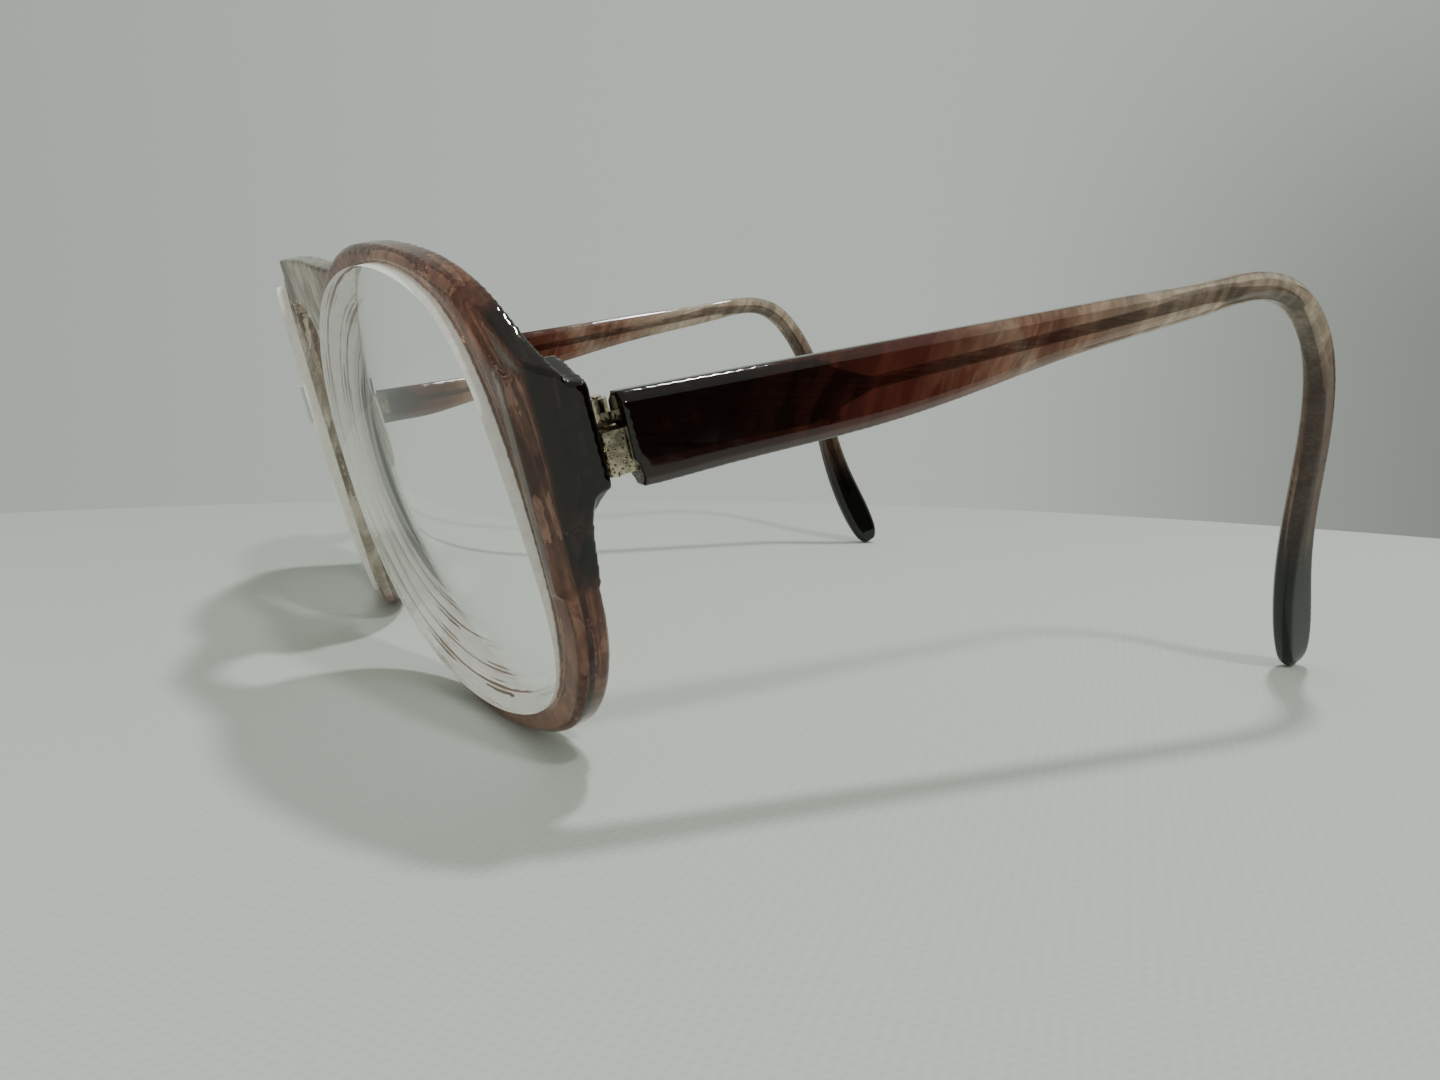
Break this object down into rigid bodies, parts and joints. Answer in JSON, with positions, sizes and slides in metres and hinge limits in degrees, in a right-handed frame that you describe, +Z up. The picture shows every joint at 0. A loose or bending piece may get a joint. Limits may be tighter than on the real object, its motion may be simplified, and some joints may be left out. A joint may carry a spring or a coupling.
{
  "type": "eyeglasses",
  "caption": "Marbled acetate spectacles with large rounded eyes, a straight high bridge, wire-cored temples that fold on screw hinges and curve down behind the ears.",
  "frame": {"origin": "middle of the footprint's box, on the table that the rims and temple tips stand on", "axes": "+Z up, -Y towards the front of the lenses, +Y back along the temples, +X the wearer's left"},
  "size_m": [0.1384, 0.1352, 0.0552],
  "materials": {
    "acetate_front": "polished, marbled brown, clearer at the bridge",
    "acetate_pad": "polished, translucent",
    "acetate_temple": "polished, marbled dark brown",
    "lens_glass": "clear, frosted ground edge",
    "hinge_gold": "polished barrels, rough cast end",
    "screw_gold": "turned",
    "rivet_gold": "turned",
    "core_steel": "drawn wire"
  },
  "bodies": {
    "front": {"front_frame": "acetate_front", "nose_pad_left": "acetate_pad", "lens_left": "lens_glass", "hinge_front_leaf_left": "hinge_gold", "hinge_screw_left": "screw_gold", "hinge_front_rivets_left": "rivet_gold", "nose_pad_right": "acetate_pad", "lens_right": "lens_glass", "hinge_front_leaf_right": "hinge_gold", "hinge_screw_right": "screw_gold", "hinge_front_rivets_right": "rivet_gold"},
    "temple_left": {"temple_left": "acetate_temple", "temple_core_left": "core_steel", "hinge_temple_leaf_left": "hinge_gold", "hinge_temple_rivets_left": "rivet_gold"},
    "temple_right": {"temple_right": "acetate_temple", "temple_core_right": "core_steel", "hinge_temple_leaf_right": "hinge_gold", "hinge_temple_rivets_right": "rivet_gold"}
  },
  "joints": [
    {"name": "temple_left_fold", "type": "hinge", "parent": "front", "child": "temple_left", "pos_m": [0.0633, -0.04471, 0.03063], "axis": [0, -0.2596, 0.9657], "range_deg": [0, 91]},
    {"name": "temple_right_fold", "type": "hinge", "parent": "front", "child": "temple_right", "pos_m": [-0.0633, -0.04471, 0.03063], "axis": [0, 0.2596, -0.9657], "range_deg": [0, 82]}
  ]
}
